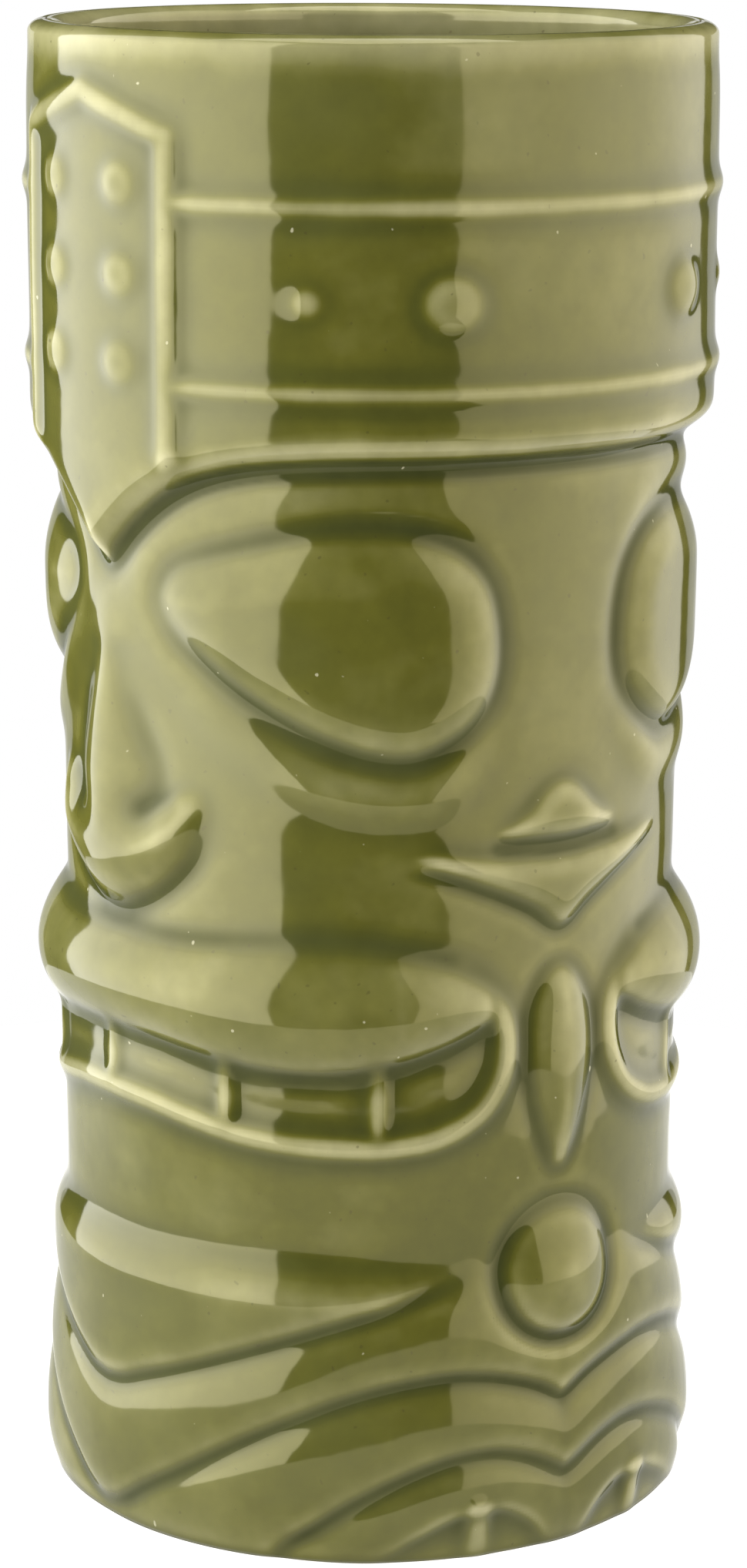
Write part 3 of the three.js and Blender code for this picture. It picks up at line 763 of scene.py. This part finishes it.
def build_liner_glaze():
    """The coat over the inner half of the lip, the inside wall and the floor."""
    wall = inner_rings(1.0, 0)
    lip_pool = np.interp(INNER_LIP_TURNS, [90, 170], [0.38, 0.22])
    wall_heights = np.array([r[0, 2] for r in wall])
    wall_pool = LINER_POOLING - 0.32 * smooth(162.8, 167.8, wall_heights)
    pool_and_shade = np.repeat(np.concatenate([lip_pool, wall_pool])[:, None], len(ANGLES), 1)
    rings = lip_rings(INNER_LIP_TURNS, 0) + wall + floor_rings(FLOOR_THICKNESS, 14)
    back = lip_rings(INNER_LIP_TURNS, GLAZE) + inner_rings(HIDDEN_ROW_STEP, GLAZE)
    back += floor_rings(FLOOR_THICKNESS - GLAZE, 4)
    rings += back[::-1]
    material = glaze("olive_liner")
    return new_piece("liner_glaze_coat", rings, True, "liner_glaze", material, pool_and_shade)


def build_stoneware():
    """The clay body, from the middle of its underside round the foot, the wall and the lip to the floor."""
    depth = GLAZE + BOND_GAP
    recess = [ring(r, FOOT_RECESS) for r in (AXIS_GAP, 8, 16, 24, 29, FOOT_INNER_RADIUS - 1.0)]
    foot = [ring(r, z) for r, z in (
        (FOOT_INNER_RADIUS - 0.6, FOOT_RECESS - 0.3),
        (FOOT_INNER_RADIUS - 0.25, 0.4),
        (FOOT_INNER_RADIUS + 0.1, 0.08),
        (FOOT_INNER_RADIUS + 0.5, 0),
        (33.3, 0),
        (FOOT_RADIUS - 0.8, 0),
        (FOOT_RADIUS - 0.35, 0.1),
    )]
    rings = recess + foot + wall_rings(UNDER, HIDDEN_ROWS, depth)
    rings += lip_rings(OUTER_LIP_TURNS + INNER_LIP_TURNS, depth)
    rings += inner_rings(HIDDEN_ROW_STEP, depth) + floor_rings(FLOOR_THICKNESS - depth, 6)
    material = stoneware("bisque_clay")
    return new_piece("stoneware_shell", rings, False, "stoneware_body", material)


def build_base_glaze():
    """The coat on the recess inside the foot ring, with a faint ripple."""
    top = FOOT_RECESS - BOND_GAP
    under = top - GLAZE
    edge = FOOT_INNER_RADIUS - BASE_MARGIN
    radii = np.linspace(AXIS_GAP, edge, 24)
    rings = [ring(r, under + 0.06 * math.sin(r * 0.7)) for r in radii]
    rings += [ring(edge + 0.25, under + 0.12), ring(edge + 0.3, top)]
    rings += [ring(r, top) for r in (edge - 6, edge - 14, AXIS_GAP)]
    material = glaze("olive_base", 0.1)
    return new_piece("base_glaze_coat", rings, False, "base_glaze", material)


# ---------------------------------------------------------------- stage, light and camera
FACE_TURN = 53.3            # how far round from the front the camera stands, degrees
TABLE_RADIUS = 0.19         # metres, as are all lengths from here on
TABLE_THICKNESS = 0.004
TABLE_SIDES = 128
TABLE_COLOUR = (0.3, 0.3, 0.295, 1)
TABLE_GLOW = 0.95
SIDE_PANEL = dict(distance=0.42, low=-0.28, high=1.0, spread=150)
BACK_PANEL = dict(distance=0.5, low=-0.25, high=0.2, spread=180)
WARM_LIGHT = (1.0, 0.96, 0.87)
TOP_PANEL_SIZE = 0.6
TOP_PANEL_HEIGHT = 0.9
TOP_PANEL_BRIGHTNESS = 4.0
WORLD_IN_REFLECTIONS = 0.04
CAMERA_DISTANCE = 0.4834
CAMERA_HEIGHT = 0.19315
CAMERA_ASIDE = 0.0004
CAMERA_PITCH = 12.94
CAMERA_ROLL = 0.26
CAMERA_LENS = 97.8          # mm, on a sensor of the next size
CAMERA_SENSOR = 36.0


def on_stage(azimuth, distance, z):
    """A point at an angle round from the camera's side, in metres."""
    turn = math.radians(FACE_TURN + azimuth)
    return (distance * math.sin(turn), -distance * math.cos(turn), z)


def softbox(name, facing, start, end, distance, low, high, brightness, spread):
    """A large upright light panel between two angles round from the camera, brightest along its facing."""
    near, far = (distance * math.tan(math.radians(angle - facing)) for angle in (start, end))
    data = bpy.data.lights.new(name, "AREA")
    data.shape = "RECTANGLE"
    data.size = abs(far - near)
    data.size_y = high - low
    data.energy = brightness * math.pi * data.size * data.size_y
    data.spread = math.radians(spread)
    lamp = bpy.data.objects.new(name, data)
    x, y, z = on_stage(facing, distance, (low + high) / 2)
    turn = math.radians(FACE_TURN + facing)
    aside = (near + far) / 2
    lamp.location = (x + aside * math.cos(turn), y + aside * math.sin(turn), z)
    lamp.rotation_euler = (math.radians(90), 0, turn)
    lamp.visible_camera = False
    bpy.context.scene.collection.objects.link(lamp)
    return lamp


def lights():
    """Two tall side panels with a gap between them, a weak one behind and a soft one above."""
    softbox("left_softbox", facing=-74, start=-32, end=-124, brightness=3.9, **SIDE_PANEL)
    right = softbox("right_softbox", facing=84, start=28, end=139, brightness=2.28, **SIDE_PANEL)
    right.data.color = WARM_LIGHT
    softbox("back_softbox", facing=180, start=147, end=211, brightness=0.75, **BACK_PANEL)
    data = bpy.data.lights.new("top_softbox", "AREA")
    data.size = TOP_PANEL_SIZE
    data.energy = TOP_PANEL_BRIGHTNESS * math.pi * TOP_PANEL_SIZE**2
    lamp = bpy.data.objects.new("top_softbox", data)
    lamp.location = (0, 0, TOP_PANEL_HEIGHT)
    lamp.visible_camera = False
    bpy.context.scene.collection.objects.link(lamp)


def world():
    """White behind the object, dim in its reflections."""
    scene_world = bpy.data.worlds.new("studio")
    scene_world.use_nodes = True
    tree = scene_world.node_tree
    background = tree.nodes["Background"]
    background.inputs["Color"].default_value = (1, 1, 1, 1)
    path = tree.nodes.new("ShaderNodeLightPath")
    strength = tree.nodes.new("ShaderNodeMapRange")
    strength.inputs["To Min"].default_value = WORLD_IN_REFLECTIONS
    strength.inputs["To Max"].default_value = 1.0
    tree.links.new(path.outputs["Is Camera Ray"], strength.inputs["Value"])
    tree.links.new(strength.outputs["Result"], background.inputs["Strength"])
    bpy.context.scene.world = scene_world


def stage():
    """A pale round table top under the mug."""
    count = TABLE_SIDES
    turns = np.linspace(0, 2 * np.pi, count, endpoint=False)
    top = [(TABLE_RADIUS * math.cos(t), TABLE_RADIUS * math.sin(t), 0.0) for t in turns]
    low = [(x, y, -TABLE_THICKNESS) for x, y, _ in top]
    faces = [tuple(range(count)), tuple(range(2 * count - 1, count - 1, -1))]
    faces += [(i, i + count, (i + 1) % count + count, (i + 1) % count) for i in range(count)]
    mesh = bpy.data.meshes.new("table_top")
    mesh.from_pydata(top + low, [], faces)
    material = bpy.data.materials.new("pale_table")
    material.use_nodes = True
    shader = material.node_tree.nodes["Principled BSDF"]
    shader.inputs["Base Color"].default_value = TABLE_COLOUR
    shader.inputs["Roughness"].default_value = 0.9
    shader.inputs["Specular IOR Level"].default_value = 0.0
    shader.inputs["Emission Color"].default_value = (1, 1, 1, 1)
    shader.inputs["Emission Strength"].default_value = TABLE_GLOW
    mesh.materials.append(material)
    table = bpy.data.objects.new("table_top", mesh)
    bpy.context.scene.collection.objects.link(table)


def camera():
    """The camera stands between the front and the seam, and looks down a little."""
    data = bpy.data.cameras.new("camera")
    data.sensor_fit = "AUTO"
    data.sensor_width = CAMERA_SENSOR
    data.sensor_height = CAMERA_SENSOR
    data.lens = CAMERA_LENS
    data.clip_start = 0.01
    data.clip_end = 50
    view = bpy.data.objects.new("camera", data)
    turn = math.radians(FACE_TURN)
    x, y, _ = on_stage(0, CAMERA_DISTANCE, 0)
    right = (math.cos(turn), math.sin(turn))
    view.location = (x + CAMERA_ASIDE * right[0], y + CAMERA_ASIDE * right[1], CAMERA_HEIGHT)
    aim = Matrix.Rotation(turn, 3, "Z") @ Matrix.Rotation(math.radians(90 - CAMERA_PITCH), 3, "X")
    view.rotation_euler = (aim @ Matrix.Rotation(math.radians(CAMERA_ROLL), 3, "Z")).to_euler()
    bpy.context.scene.collection.objects.link(view)
    bpy.context.scene.camera = view


camera()
build_stoneware()
build_outer_glaze()
build_liner_glaze()
build_base_glaze()
stage()
lights()
world()
bpy.context.scene.view_settings.view_transform = "Standard"
